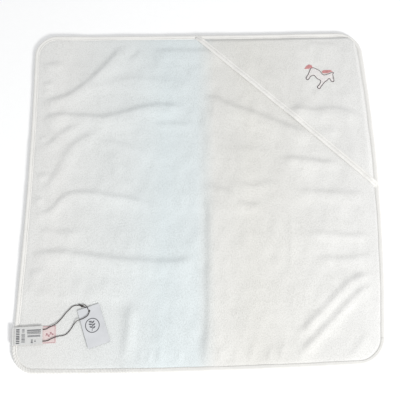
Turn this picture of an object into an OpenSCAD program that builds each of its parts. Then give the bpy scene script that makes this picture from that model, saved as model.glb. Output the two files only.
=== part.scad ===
// Hooded baby towel: a square of terry cloth with a bound edge, a three-cornered
// hood on one corner, a woven label at one side and a paper hang tag on a cord.
//
// Millimetres, +Z up. The origin is the bottom centre of the towel. The hood is at
// the +X +Y corner and the labels are on the -X side.

/* [Towel] */
// Side of the square towel, binding included
towel_side = 750; // [700:10:1000]
// Radius of the towel's rounded corners
corner_r = 52; // [46:1:80]
// Height of the terry cloth, both piles included
cloth_h = 4; // [3.5:0.5:6]

/* [Edge binding] */
// Width of the folded binding tape
binding_w = 10; // [8:0.5:12]
// Thickness of the binding tape
tape_t = 0.6; // [0.5:0.1:0.8]
// Width of a line of sewing thread
thread_w = 0.8; // [0.6:0.1:1]
// Height of a line of sewing thread
thread_h = 0.3; // [0.2:0.05:0.35]

/* [Hood] */
// Length of the hood along each side of the towel
hood_leg = 388; // [320:4:420]
// Height of the hood's cloth
hood_h = 3; // [2.5:0.5:4]
// Width of the binding tape on the hood's free edge
hood_binding_w = 11; // [8:0.5:14]
// Size of the embroidered pony, where 1 is about 60 mm across
pony_size = 1; // [0.8:0.05:1.2]

/* [Labels] */
// Length of the folded care label
care_len = 62; // [50:1:70]
// Width of both sewn-in labels
label_w = 36; // [30:1:40]
// How far the ribbon label stands out past the care label
ribbon_out = 27; // [20:1:28]
// Turn of the labels from square to the edge, in degrees
label_turn = 3; // [1:0.5:4]

/* [Hang tag] */
// Width of the card
tag_w = 46; // [44:1:50]
// Length of the card
tag_len = 80; // [70:1:90]
// Thickness of the card
tag_t = 0.4; // [0.3:0.1:0.4]
// Radius of the hole for the cord
hole_r = 2.5; // [2.4:0.1:3]
// Diameter of the cord
cord_d = 1.4; // [1.2:0.1:1.4]

/* [Hidden] */
$fn = 64;

// Colours
terry_white = [0.94, 0.93, 0.91];
tape_white = [0.97, 0.96, 0.94];
thread_grey = [0.80, 0.79, 0.77];
outline_grey = [0.38, 0.34, 0.34];
mane_pink = [0.90, 0.62, 0.64];
label_white = [0.93, 0.93, 0.92];
ribbon_pink = [0.93, 0.80, 0.79];
cord_brown = [0.16, 0.11, 0.10];
card_blue = [0.86, 0.88, 0.92];

// Towel and edge binding
half = towel_side / 2;
binding_top = cloth_h + tape_t;
stitch_inset = binding_w - 1.7;

// Hood: it lies just over the cloth and just inside the binding
body_gap = 0.3;
hood_inset = binding_w + 1;
hood_z = cloth_h + body_gap;
hood_top = hood_z + hood_h;
free_edge_c = towel_side - hood_leg;
free_edge_off = free_edge_c / sqrt(2);
hood_tape_z = hood_z + 0.2;
hood_tape_h = hood_h - 0.2;
hood_stitch_in = hood_binding_w - 2;
backing_r = 38 * pony_size;
backing_h = 0.3;
pony_at = [279, 263];
pony_turn = -45;
fill_h = 0.6;
outline_h = 0.9;
outline_w = 1.4;

// Labels: the ribbon label, the cord on it, then the care label
label_x = 1.2 - half;
label_y = -311;
ribbon_z = binding_top + body_gap;
ribbon_t = 0.3;
care_z = ribbon_z + ribbon_t + cord_d + 0.2;
care_t = 0.6;
fold_gap = 0.1;
bartack_in = 5;

// Hang tag, which turns about the cord in its hole
hole_at = [-219.5, -260];
hole_down = 8;
tag_z = 6;
tag_turn = 19;

// Pony, drawn about its own middle, facing +X, before it is turned on the hood
pony_body = [
    [-20, 7], [-8, 10], [4, 8], [10, 16], [13, 23], [16, 26], [17, 22],
    [25, 15], [28, 11], [25, 8], [18, 10], [17, 3], [16, -4], [17, -14],
    [18, -22], [13, -22], [12, -14], [9, -6], [0, -7], [-9, -6], [-12, -13],
    [-11, -22], [-16, -22], [-18, -13], [-21, -4], [-23, 2]
];
pony_mane = [[1, 10], [8, 17], [11, 24], [14, 27], [8, 27], [3, 22], [-2, 17], [-3, 12]];
pony_tail = [[-21, 6], [-26, 9], [-31, 7], [-33, 0], [-32, -8], [-28, -4], [-25, -1], [-24, 3]];

// Middle line of the cord, from under the care label to the tag's hole and back
cord_route = [
    [-323, -295, 5.9], [-317, -296, 5.9], [-311, -297, 5.9], [-305, -296, 5.9],
    [-299, -292.5, 5.9], [-293, -289.5, 5.9], [-286.5, -286, 5.9], [-281.5, -281.5, 5.5],
    [-276.5, -276, 5], [-271.5, -269.5, 5], [-266.5, -263, 5], [-261, -257.5, 5],
    [-256, -252, 5], [-250, -249, 5], [-244, -248.5, 5], [-238, -249.5, 5],
    [-232, -251.5, 5], [-226, -253.5, 5], [-222, -256, 5], [-220.4, -258.6, 5.2],
    [-219.5, -260, 6.2], [-219.2, -261.6, 7.2], [-220, -265, 7.4], [-223, -270, 7.4],
    [-229.5, -274.5, 7.4], [-236.5, -277.5, 7.4], [-243.5, -280, 7.1], [-248.5, -285, 5.6],
    [-253, -292.5, 5], [-258, -300, 5], [-264, -306, 5], [-271, -309, 5],
    [-278, -310, 5.1], [-285, -312, 5.8], [-293, -315, 5.9], [-301, -319, 5.9],
    [-307, -320, 5.9], [-313, -320, 5.9], [-321, -319, 5.9]];
cord_sides = 8;
knot_at = [-235, -250.4, 6];
knot_r = 1.7;

// ---- Shared shapes ----

// A square with rounded corners, drawn inset from the towel's outline
module towel_outline(inset) {
    side = half - inset;
    radius = corner_r - inset;
    reach = side - radius;
    square([2 * side, 2 * reach], center = true);
    square([2 * reach, 2 * side], center = true);
    for (sx = [-1, 1], sy = [-1, 1])
        translate([sx * reach, sy * reach])
            circle(r = radius);
}

// A flat slab of the towel's outline, from low to high
module towel_slab(inset, low, high) {
    translate([0, 0, low])
        linear_extrude(height = high - low)
            towel_outline(inset);
}

// A ring that follows the towel's outline
module towel_ring(inset, width, low, high) {
    translate([0, 0, low])
        linear_extrude(height = high - low)
            difference() {
                towel_outline(inset);
                towel_outline(inset + width);
            }
}

// A block beside the hood's free edge, from `near` to `far` towards the corner
module free_edge_block(near, far, low, high) {
    rotate([0, 0, 45])
        translate([free_edge_off + near, -half, low])
            cube([far - near, towel_side, high - low]);
}

// A part of the hood: what lies inside the hood's rounded corner
module hood_part(near, far, low, high) {
    intersection() {
        towel_slab(hood_inset, low, high);
        free_edge_block(near, far, low, high);
    }
}

// Places a flat drawing on the hood
module on_hood() {
    translate([pony_at.x, pony_at.y, hood_top])
        rotate([0, 0, pony_turn])
            scale([pony_size, pony_size, 1])
                children();
}

// Places a label, with local +X running in from the sewn end
module on_label(low) {
    translate([label_x, label_y, low])
        rotate([0, 0, label_turn])
            children();
}

// ---- Towel ----

module towel_panel() {
    color(terry_white) {
        towel_slab(binding_w, 0, cloth_h);
        // The rim goes into the fold of the binding
        towel_slab(tape_t, tape_t, cloth_h);
    }
}

module edge_binding() {
    color(tape_white)
        difference() {
            towel_ring(0, binding_w, 0, binding_top);
            towel_ring(tape_t, binding_w, tape_t, cloth_h);
            // Groove of the lower line of thread
            towel_ring(stitch_inset, thread_w, -1, thread_h);
        }
}

module edge_stitch_top() {
    color(thread_grey)
        towel_ring(stitch_inset, thread_w, binding_top, binding_top + thread_h);
}

module edge_stitch_bottom() {
    color(thread_grey)
        towel_ring(stitch_inset, thread_w, 0, thread_h);
}

// ---- Hood ----

module hood_panel() {
    color(terry_white)
        difference() {
            union() {
                hood_part(hood_binding_w, hood_leg, hood_z, hood_top);
                // The free edge goes into the fold of its binding
                hood_part(tape_t, hood_leg, hood_tape_z + tape_t, hood_tape_z + hood_tape_h - tape_t);
            }
            translate([pony_at.x, pony_at.y, hood_z - 1])
                cylinder(r = backing_r, h = backing_h + 1);
        }
}

module hood_binding() {
    color(tape_white)
        difference() {
            hood_part(0, hood_binding_w, hood_tape_z, hood_tape_z + hood_tape_h);
            free_edge_block(tape_t, hood_binding_w + 1, hood_tape_z + tape_t,
                hood_tape_z + hood_tape_h - tape_t);
            // Groove of the lower line of thread
            free_edge_block(hood_stitch_in, hood_stitch_in + thread_w, hood_z, hood_tape_z + thread_h);
        }
}

module hood_stitch_top() {
    color(thread_grey)
        hood_part(hood_stitch_in, hood_stitch_in + thread_w, hood_top, hood_top + thread_h);
}

module hood_stitch_bottom() {
    color(thread_grey)
        hood_part(hood_stitch_in, hood_stitch_in + thread_w, hood_tape_z, hood_tape_z + thread_h);
}

// ---- Embroidery ----

module embroidery_backing() {
    color(label_white)
        translate([pony_at.x, pony_at.y, hood_z])
            cylinder(r = backing_r, h = backing_h);
}

module embroidery_fill() {
    color(tape_white)
        on_hood()
            linear_extrude(height = fill_h)
                polygon(pony_body);
}

module embroidery_outline() {
    color(outline_grey)
        on_hood()
            linear_extrude(height = outline_h)
                difference() {
                    offset(delta = outline_w)
                        polygon(pony_body);
                    polygon(pony_body);
                }
}

module embroidery_mane() {
    color(mane_pink)
        on_hood()
            linear_extrude(height = fill_h)
                difference() {
                    union() {
                        polygon(pony_mane);
                        polygon(pony_tail);
                    }
                    offset(delta = outline_w)
                        polygon(pony_body);
                }
}

// ---- Labels ----

// One strip folded back on itself, with the fold at its free end
module care_label() {
    color(label_white)
        on_label(care_z)
            difference() {
                translate([0, -label_w / 2, 0])
                    cube([care_len, label_w, care_t]);
                translate([-1, -label_w, (care_t - fold_gap) / 2])
                    cube([care_len, 2 * label_w, fold_gap]);
            }
}

module ribbon_label() {
    color(ribbon_pink)
        on_label(ribbon_z)
            translate([0, 0.5 - label_w / 2, 0])
                cube([care_len + ribbon_out, label_w - 1, ribbon_t]);
}

// Close stitches that hold both labels to the edge of the towel
module label_bartack() {
    color(thread_grey)
        on_label(care_z + care_t)
            translate([bartack_in, 2 - label_w / 2, 0])
                cube([thread_w, label_w - 4, thread_h]);
}

// ---- Cord and hang tag ----

function unit(v) = v / norm(v);

// A point on the smooth curve through p1 and p2, with p0 and p3 beyond them
function spline_point(p0, p1, p2, p3, t) =
    0.5 * (2 * p1 + (p2 - p0) * t
        + (2 * p0 - 5 * p1 + 4 * p2 - p3) * t * t
        + (3 * p1 - p0 - 3 * p2 + p3) * t * t * t);

function smooth_route(points, steps) =
    let (last = len(points) - 1)
    [
        for (i = [0:last - 1], step = [0:steps - 1])
            spline_point(
                points[max(i - 1, 0)], points[i],
                points[i + 1], points[min(i + 2, last)], step / steps),
        points[last]
    ];

function route_direction(points, i) =
    unit(points[min(i + 1, len(points) - 1)] - points[max(i - 1, 0)]);

function tube_ring(centre, direction, radius) =
    let (side = unit(cross(direction, [0, 0, 1])))
    let (up = cross(side, direction))
    [for (k = [0:cord_sides - 1])
        centre + radius * (cos(360 * k / cord_sides) * side + sin(360 * k / cord_sides) * up)];

module tube(points, radius) {
    count = len(points);
    corners = [for (i = [0:count - 1]) each tube_ring(points[i], route_direction(points, i), radius)];
    start_cap = [[for (k = [0:cord_sides - 1]) k]];
    end_cap = [[for (k = [cord_sides - 1:-1:0]) (count - 1) * cord_sides + k]];
    walls = [for (i = [0:count - 2], k = [0:cord_sides - 1])
        let (next = (k + 1) % cord_sides)
        let (ring = i * cord_sides)
        [ring + k, ring + cord_sides + k, ring + cord_sides + next, ring + next]];
    polyhedron(points = corners, faces = concat(start_cap, walls, end_cap));
}

module tag_cord() {
    color(cord_brown)
        tube(smooth_route(cord_route, 2), cord_d / 2);
}

module cord_knot() {
    color(cord_brown)
        translate(knot_at) {
            sphere(r = knot_r);
            for (turn = [75, 150])
                rotate([0, 0, turn])
                    rotate([0, 96, 0])
                        cylinder(d = cord_d, h = 6);
        }
}

module hang_tag() {
    color(card_blue)
        translate([hole_at.x, hole_at.y, tag_z])
            rotate([0, 0, tag_turn])
                difference() {
                    translate([-tag_w / 2, hole_down - tag_len, 0])
                        cube([tag_w, tag_len, tag_t]);
                    translate([0, 0, -1])
                        cylinder(r = hole_r, h = tag_t + 2);
                }
}

towel_panel();
edge_binding();
edge_stitch_top();
edge_stitch_bottom();
hood_panel();
hood_binding();
hood_stitch_top();
hood_stitch_bottom();
embroidery_backing();
embroidery_fill();
embroidery_outline();
embroidery_mane();
care_label();
ribbon_label();
label_bartack();
tag_cord();
cord_knot();
hang_tag();
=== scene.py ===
"""Looks of a hooded baby towel: terry cloth, bound edges, hood, labels and hang tag."""
import math

import bpy
import numpy as np
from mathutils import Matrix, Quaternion, Vector


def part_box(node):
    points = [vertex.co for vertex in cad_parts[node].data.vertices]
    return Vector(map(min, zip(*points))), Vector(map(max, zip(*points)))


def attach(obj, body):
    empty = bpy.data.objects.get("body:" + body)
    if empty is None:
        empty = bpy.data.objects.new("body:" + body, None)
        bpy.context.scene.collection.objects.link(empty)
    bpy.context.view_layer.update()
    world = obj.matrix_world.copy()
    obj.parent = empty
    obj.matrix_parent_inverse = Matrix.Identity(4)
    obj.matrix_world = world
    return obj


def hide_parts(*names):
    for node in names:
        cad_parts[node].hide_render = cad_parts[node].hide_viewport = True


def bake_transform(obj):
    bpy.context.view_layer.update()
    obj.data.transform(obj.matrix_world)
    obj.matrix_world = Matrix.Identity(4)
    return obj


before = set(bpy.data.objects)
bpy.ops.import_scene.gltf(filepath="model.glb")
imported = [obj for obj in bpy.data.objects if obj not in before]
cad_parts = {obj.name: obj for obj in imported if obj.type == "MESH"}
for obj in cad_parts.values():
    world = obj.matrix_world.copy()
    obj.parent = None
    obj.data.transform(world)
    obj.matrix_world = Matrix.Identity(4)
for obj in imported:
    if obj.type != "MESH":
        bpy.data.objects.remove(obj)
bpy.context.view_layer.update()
MM = 0.001

# ---- Sizes in millimetres, read from the frame ----

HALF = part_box("edge_binding")[1][0] / MM
CLOTH_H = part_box("towel_panel")[1][2] / MM
CARD_LOW, CARD_HIGH = (corner[2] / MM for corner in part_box("hang_tag"))
CARE_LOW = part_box("care_label")[0][2] / MM
RIBBON_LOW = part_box("ribbon_label")[0][2] / MM

# ---- Sizes in millimetres that repeat the CAD's ----

CORNER_R = 52.0
HOOD_H = 3.0
# The hood's free edge is the line x + y = HOOD_LINE
HOOD_LINE = 362.0
LABEL_AT = np.array([-373.8, -311.0])
LABEL_TURN = math.radians(3)
LABEL_W = 36.0
CARE_LEN = 62.0
RIBBON_LEN = 89.0
HOLE_AT = np.array([-219.5, -260.0])
CARD_TURN = math.radians(19)
CARD_W = 46.0
CARD_LEN = 80.0
HOLE_DOWN = 8.0
HOLE_R = 2.5
PONY_AT = np.array([269.0, 262.0])
PONY_TURN = math.radians(-45)
PONY_SCALE = 1.12
KNOT_AT = np.array([-235.0, -250.4, 5.9])

# ---- Sizes that only the looks have ----

CORD_D = 1.6
THREAD_D = 0.46
# The edge tape's inner edge, where it presses on the cloth
RIM_IN = 9.0
TAPE_STEP = 1.6
STITCH_PITCH = 3.3
STITCH_SIZE = (2.5, 0.75, 0.6)
# How far the hood's tape sits in the pile, and how far it drops where it meets the seam
TAPE_SINK = 0.3
SEAM_DROP = 2.4

# ---- Camera, first of all ----


def add_camera(azimuth, elevation, distance, target, roll, lens):
    """A camera that looks at target, with azimuth 0 looking along +Y; roll turns it about its view."""
    turn = math.radians(azimuth)
    lift = math.radians(elevation)
    forward = Vector((-math.sin(turn) * math.cos(lift), math.cos(turn) * math.cos(lift), -math.sin(lift)))
    data = bpy.data.cameras.new("camera")
    data.lens = lens
    data.sensor_width = 36
    data.clip_start = 0.01
    camera = bpy.data.objects.new("camera", data)
    bpy.context.scene.collection.objects.link(camera)
    camera.location = Vector(target) - forward * distance
    spin = Quaternion((0, 0, 1), math.radians(roll))
    camera.rotation_mode = "QUATERNION"
    camera.rotation_quaternion = forward.to_track_quat("-Z", "Y") @ spin
    bpy.context.scene.camera = camera


add_camera(azimuth=2.0, elevation=74.0, distance=1.316, target=(0.007, -0.024, 0), roll=-2.2, lens=55)

# ---- Mesh helpers ----


def new_object(name, verts, faces, smooth_faces=None, face_slots=None):
    """A mesh object from points in millimetres; the first smooth_faces faces are smooth, or all of them."""
    mesh = bpy.data.meshes.new(name)
    points = np.asarray(verts, float) * MM
    mesh.from_pydata(points.tolist(), [], [list(f) for f in faces])
    obj = bpy.data.objects.new(name, mesh)
    bpy.context.scene.collection.objects.link(obj)
    smooth_faces = len(faces) if smooth_faces is None else smooth_faces
    mesh.polygons.foreach_set("use_smooth", [i < smooth_faces for i in range(len(mesh.polygons))])
    if face_slots is not None:
        mesh.polygons.foreach_set("material_index", face_slots)
    mesh.update()
    return obj


def smooth_line(points, step):
    """Points about step apart on a smooth curve through the given points."""
    pts = np.asarray(points, float)
    ends = np.vstack([2 * pts[0] - pts[1], pts, 2 * pts[-1] - pts[-2]])
    out = []
    for i in range(1, len(ends) - 2):
        p0, p1, p2, p3 = ends[i - 1:i + 3]
        count = max(1, int(round(np.linalg.norm(p2 - p1) / step)))
        for t in np.arange(count) / count:
            out.append(0.5 * (2 * p1 + (p2 - p0) * t + (2 * p0 - 5 * p1 + 4 * p2 - p3) * t ** 2
                              + (3 * p1 - p0 - 3 * p2 + p3) * t ** 3))
    out.append(pts[-1])
    return np.array(out)


def smoothstep(t):
    """0 up to t = 0, 1 from t = 1, and a smooth rise between."""
    t = np.clip(t, 0, 1)
    return t * t * (3 - 2 * t)


def run_along(line):
    """Distance along a line of points, at each point."""
    return np.concatenate([[0], np.cumsum(np.linalg.norm(np.diff(line, axis=0), axis=1))])


def shifted(faces, offset):
    """The same faces for points that start at offset."""
    return [tuple(i + offset for i in face) for face in faces]


def turned_over(faces):
    """The same faces seen from their other side, each still starting at its first corner."""
    return [(face[0],) + face[:0:-1] for face in faces]


def tube_faces(count, around, closed=False):
    """Quads that join count rings of points, with a cap at each end unless the tube closes on itself."""
    faces = []
    for i in range(count if closed else count - 1):
        a = i * around
        b = (i + 1) % count * around
        for k in range(around):
            n = (k + 1) % around
            faces.append((a + k, a + n, b + n, b + k))
    if not closed:
        faces.append(tuple(range(around - 1, -1, -1)))
        faces.append(tuple((count - 1) * around + k for k in range(around)))
    return faces


def slab_faces(rows, columns, first_corner=0):
    """Top, bottom and walls of a grid of points whose lower layer follows its upper one.

    first_corner is where each upper quad starts, and so the diagonal that it is split along.
    """
    shift = rows * columns
    faces = []
    for i in range(rows - 1):
        for j in range(columns - 1):
            a = i * columns + j
            b = a + columns
            top = (a, b, b + 1, a + 1)
            faces.append(top[first_corner:] + top[:first_corner])
            faces.append((a + shift, a + 1 + shift, b + 1 + shift, b + shift))
    edge = [i * columns for i in range(rows)]
    edge += [(rows - 1) * columns + j for j in range(1, columns)]
    edge += [i * columns + columns - 1 for i in range(rows - 2, -1, -1)]
    edge += list(range(columns - 2, 0, -1))
    for a, b in zip(edge, edge[1:] + edge[:1]):
        faces.append((b, a, a + shift, b + shift))
    return faces


def sweep(centres, sides, ups, profile):
    """Joins copies of a closed profile, set up at each centre, into a tube with capped ends."""
    rings = [c + shape[:, :1] * s + shape[:, 1:] * u
             for c, s, u, shape in zip(centres, sides, ups, profile)]
    return np.vstack(rings), tube_faces(len(rings), len(rings[0]))


# ---- How the cloth lies ----


def lay(x, y):
    """Where a point of the flat pattern comes to lie: the cloth is bowed and a little askew."""
    u = x / HALF
    v = y / HALF
    # Bowed to the right at mid height, most at the right side
    bow, bow_growth = 13, 5
    # The right side lies higher, less so at the top; the top and bottom edges sag at their middles
    rise, rise_loss = 5.5, 3.5
    sag, sag_loss = 4.5, 1.5
    dx = (bow + bow_growth * u) * (1 - v * v)
    dy = u * (rise - rise_loss * v) - (sag - sag_loss * v) * (1 - u * u) * v * v
    return x + dx, y + dy


# Each ridge in the cloth: points along it, height, width of its steep and of its gentle side
RIDGES = [
    ([(-358, 205), (-320, 212), (-290, 224), (-255, 250), (-220, 285), (-190, 320), (-168, 352)],
     4.2, 8, 26),
    ([(-160, 302), (-148, 316), (-126, 340)], 1.4, 6, 14),
    ([(-110, 330), (-60, 331), (0, 330), (28, 326), (60, 305)], 3.0, 8, 30),
    ([(-245, 236), (-200, 248), (-165, 257), (-120, 256), (-60, 248), (-10, 240)], 2.4, 14, 40),
    ([(-356, 160), (-330, 170), (-300, 173), (-250, 169), (-210, 168), (-170, 177), (-130, 189),
      (-90, 194), (-35, 188)], 4.2, 8, 28),
    ([(-356, 104), (-338, 105), (-322, 114), (-308, 130), (-285, 142), (-255, 150)], 2.8, 7, 18),
    ([(-345, -6), (-325, 16), (-308, 46), (-294, 80), (-280, 102), (-250, 122), (-220, 130)], 2.6, 9, 20),
    ([(-228, 110), (-190, 105), (-160, 95), (-130, 83), (-105, 75)], 1.2, 8, 20),
    ([(-214, 88), (-196, 60), (-184, 35), (-164, 10), (-140, -4)], 1.0, 10, 20),
    ([(-356, -50), (-335, -50), (-315, -40), (-300, -20), (-280, -8), (-250, -6), (-220, -10),
      (-190, -16), (-150, -22), (-110, -38)], 2.8, 6, 16),
    ([(-356, -92), (-330, -90), (-300, -93), (-240, -94)], 1.8, 7, 18),
    ([(-358, -142), (-320, -136), (-290, -136), (-250, -141), (-220, -146), (-180, -152),
      (-130, -157), (-60, -161), (-14, -156)], 3.6, 8, 26),
    ([(-354, -172), (-325, -178)], 1.8, 5, 14),
    ([(-147, -356), (-144, -300), (-141, -260), (-139, -235)], 2.6, 10, 18),
    ([(17, -366), (20, -300), (20, -250), (18, -200), (18, -150), (17, -100), (17, -50), (10, -18)],
     4.0, 9, 34),
    ([(14, 10), (12, 60), (12, 120), (8, 190)], 1.8, 9, 24),
    ([(10, 14), (18, 2), (32, -4), (52, -9), (62, -20), (74, -34), (100, -42), (135, -38)],
     2.6, 7, 18),
    ([(4, 206), (28, 210), (50, 198), (70, 188), (100, 177), (130, 164), (160, 150), (180, 142),
      (205, 130), (240, 112)], 4.2, 9, 34),
    ([(165, 66), (190, 63), (220, 59), (260, 53), (296, 50)], 3.0, 7, 22),
    ([(55, 3), (100, 1), (140, 5), (172, 8)], 1.4, 10, 18),
    ([(190, -12), (240, -15), (290, -19), (352, -22)], 2.4, 8, 18),
    ([(215, -104), (260, -107), (300, -112), (356, -113)], 1.8, 7, 16),
    ([(225, -156), (270, -161), (300, -161), (354, -155)], 1.9, 7, 16),
    ([(196, -356), (214, -340), (236, -318), (266, -288), (296, -258), (316, -238), (340, -220),
      (356, -214)], 3.0, 8, 13),
    ([(196, -318), (230, -284), (260, -254), (284, -229), (302, -211), (322, -201), (354, -197)],
     2.8, 8, 13),
    ([(296, -362), (322, -340), (346, -308)], 1.2, 8, 16),
    ([(52, 78), (100, 86), (145, 78)], 0.9, 10, 18),
    ([(-112, 149), (-60, 149), (-12, 146)], 1.9, 6, 18),
    ([(186, -40), (184, -120), (180, -200)], 0.6, 4, 8),
    ([(-356, 296), (-330, 300), (-305, 298)], 2.2, 7, 16),
    ([(-357, 252), (-328, 254)], 1.6, 5, 10),
    ([(-357, 232), (-330, 236)], 1.2, 5, 10),
    ([(-357, 122), (-334, 124)], 1.6, 5, 10),
    ([(-357, 34), (-328, 36)], 2.2, 6, 12),
    ([(-357, -20), (-336, -18)], 1.8, 5, 11),
    ([(-357, -205), (-336, -204)], 0.9, 5, 10),
]
# Short gathers where the lower binding draws the cloth in
RIDGES += [([(x, -360), (x + 4, -326)], 1.0, 5, 8) for x in (-118, -98, -80, -40, 42, 74, 104, 142, 166)]

HOOD_RIDGES = [
    ([(178, 176), (220, 178), (250, 174), (290, 177), (320, 170), (352, 152)], 3.0, 9, 26),
    ([(205, 178), (232, 196), (262, 222), (284, 240)], 1.1, 9, 18),
    ([(236, 344), (280, 342), (328, 338)], 1.3, 8, 18),
    ([(130, 262), (156, 262), (186, 250)], 1.0, 9, 18),
    ([(236, 128), (270, 122), (310, 124), (348, 116)], 1.1, 9, 18),
]


# How much of its listed height each ridge gets
RIDGE_SCALE = 0.95
# Points along a ridge are this far apart
RIDGE_STEP = 6.0
# Down to the lower right, the gentle side of every ridge
GENTLE_SIDE = np.array([0.45, -0.9])


def with_lines(ridges):
    """Ridges with a smooth line in place of their few points."""
    return [(smooth_line(points, RIDGE_STEP), *shape) for points, *shape in ridges]


CLOTH_LINES = with_lines(RIDGES)
HOOD_LINES = with_lines(HOOD_RIDGES)


def ridge_height(x, y, ridges):
    """Height that the ridges add at each point: steep on their upper left side, gentle on the other."""
    total = np.zeros_like(x)
    for line, height, steep, gentle in ridges:
        low = line.min(axis=0) - 3 * gentle
        high = line.max(axis=0) + 3 * gentle
        near = np.where((x > low[0]) & (x < high[0]) & (y > low[1]) & (y < high[1]))[0]
        if len(near) == 0:
            continue
        p = np.stack([x[near], y[near]], axis=1)
        a = line[:-1]
        d = line[1:] - a
        size = np.linalg.norm(d, axis=1)
        along = np.clip(((p[:, None] - a) * d).sum(-1) / size ** 2, 0, 1)
        gap = p[:, None] - (a + along[..., None] * d)
        distance = np.linalg.norm(gap, axis=2)
        best = distance.argmin(axis=1)
        row = np.arange(len(near))
        start = run_along(line)
        run = start[best] + along[row, best] * size[best]
        side = gap[row, best] @ GENTLE_SIDE
        width = np.where(side > 0, gentle, steep)
        fade = min(40.0, start[-1] * 0.35)
        ends = smoothstep((run + 0.1 * fade) / fade) * smoothstep((start[-1] - run + 0.1 * fade) / fade)
        total[near] += height * ends * np.exp(-(distance[row, best] / width) ** 2)
    return total


def soft_noise(x, y, wavelength, seed, waves=14):
    """Smooth noise of about unit size: seeded plane waves in all directions."""
    rng = np.random.default_rng(seed)
    turns = rng.uniform(0, math.pi, waves)
    shifts = rng.uniform(0, 2 * math.pi, waves)
    stretches = rng.uniform(0.7, 1.5, waves)
    total = np.zeros_like(x)
    for turn, shift, stretch in zip(turns, shifts, stretches):
        k = 2 * math.pi / (wavelength * stretch)
        total += np.sin(k * (x * math.cos(turn) + y * math.sin(turn)) + shift)
    return total / math.sqrt(waves / 2)


def edge_distance(x, y):
    """Distance in from the towel's outline on the flat pattern."""
    qx = np.abs(x) - (HALF - CORNER_R)
    qy = np.abs(y) - (HALF - CORNER_R)
    outside = np.hypot(np.maximum(qx, 0), np.maximum(qy, 0))
    return CORNER_R - outside - np.minimum(np.maximum(qx, qy), 0)


def soft_floor(h):
    """Keeps a height above zero with a smooth turn."""
    return 0.5 * (h + np.sqrt(h * h + 0.6))


def cloth_lift(x, y):
    """Height of the cloth's underside over the floor, in millimetres."""
    x = np.asarray(x, float)
    y = np.asarray(y, float)
    inner = smoothstep(edge_distance(x, y) / 45)
    # Flat to the lower left of this corner, where the card and its cord lie and swing
    flat_x, flat_y = -138, -215
    tag_area = smoothstep((flat_x - x) / 34) * smoothstep((flat_y - y) / 40)
    # Long waves everywhere, and short ones that die out at the rim
    lift = 1.5 + 0.3 * inner + 0.35 * soft_noise(x, y, wavelength=110, seed=4)
    lift += 0.16 * inner * soft_noise(x, y, wavelength=34, seed=9)
    lift += RIDGE_SCALE * ridge_height(x, y, CLOTH_LINES)
    lift = lift * (1 - tag_area) - 0.5 * tag_area
    return soft_floor(lift)


def hood_lift_over(x, y):
    """Height of the hood's underside over the cloth under it."""
    from_seam = np.minimum(HALF - x, HALF - y)
    puff = 0.6 * smoothstep((from_seam - 10) / 60) + 0.3 * soft_noise(x, y, wavelength=70, seed=21)
    puff += RIDGE_SCALE * ridge_height(x, y, HOOD_LINES)
    return soft_floor(puff)


def cloth_top(x, y):
    """Height of the cloth's upper side over the floor."""
    return cloth_lift(x, y) + CLOTH_H


# ---- Materials ----


def material(name, roughness=0.9, sheen=0.0):
    """A new material and its shader."""
    mat = bpy.data.materials.new(name)
    mat.use_nodes = True
    shader = mat.node_tree.nodes["Principled BSDF"]
    shader.inputs["Roughness"].default_value = roughness
    shader.inputs["Sheen Weight"].default_value = sheen
    shader.inputs["Sheen Roughness"].default_value = 0.5
    shader.inputs["Specular IOR Level"].default_value = 0.25
    return mat, shader


def node(mat, kind, **settings):
    """A new shader node with its settings."""
    made = mat.node_tree.nodes.new(kind)
    for key, value in settings.items():
        setattr(made, key, value)
    return made


def link(mat, out, into):
    """Joins an output to an input."""
    mat.node_tree.links.new(out, into)


def place(mat):
    """The point on the surface in metres, in the object's own frame."""
    return node(mat, "ShaderNodeTexCoord").outputs["Object"]


def grey(level):
    return (level, level, level)


def ramp(mat, value, stops):
    """Colours for a value from 0 to 1, blended between the stops."""
    made = node(mat, "ShaderNodeValToRGB")
    elements = made.color_ramp.elements
    while len(elements) < len(stops):
        elements.new(0.5)
    for element, (at, colour) in zip(elements, stops):
        element.position = at
        element.color = (*colour, 1)
    link(mat, value, made.inputs["Fac"])
    return made.outputs["Color"]


def colour_by(mat, shader, value, *stops):
    """Base colour that follows a value."""
    link(mat, ramp(mat, value, stops), shader.inputs["Base Color"])


def rough_by(mat, shader, value, low, high):
    """Roughness from low to high as a value rises."""
    link(mat, ramp(mat, value, [(0.2, grey(low)), (0.8, grey(high))]), shader.inputs["Roughness"])


def multiplied(mat, a, b):
    """One colour multiplied by another."""
    made = node(mat, "ShaderNodeMix", data_type="RGBA", blend_type="MULTIPLY")
    made.inputs[0].default_value = 1.0
    link(mat, a, made.inputs[6])
    link(mat, b, made.inputs[7])
    return made.outputs[2]


def bump(mat, shader, height, strength, distance):
    """Fine relief that follows a value, distance in metres."""
    made = node(mat, "ShaderNodeBump")
    made.inputs["Strength"].default_value = strength
    made.inputs["Distance"].default_value = distance
    link(mat, height, made.inputs["Height"])
    link(mat, made.outputs["Normal"], shader.inputs["Normal"])


def noise(mat, scale, detail):
    """Noise on the surface, with about scale cells to the metre."""
    made = node(mat, "ShaderNodeTexNoise")
    made.inputs["Scale"].default_value = scale
    made.inputs["Detail"].default_value = detail
    made.inputs["Roughness"].default_value = 0.55
    link(mat, place(mat), made.inputs["Vector"])
    return made.outputs["Fac"]


def math_node(mat, operation, a, b):
    """One step of arithmetic on outputs or plain numbers."""
    made = node(mat, "ShaderNodeMath", operation=operation)
    for socket, value in zip(made.inputs, (a, b)):
        if isinstance(value, (int, float)):
            socket.default_value = value
        else:
            link(mat, value, socket)
    return made.outputs[0]


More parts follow.
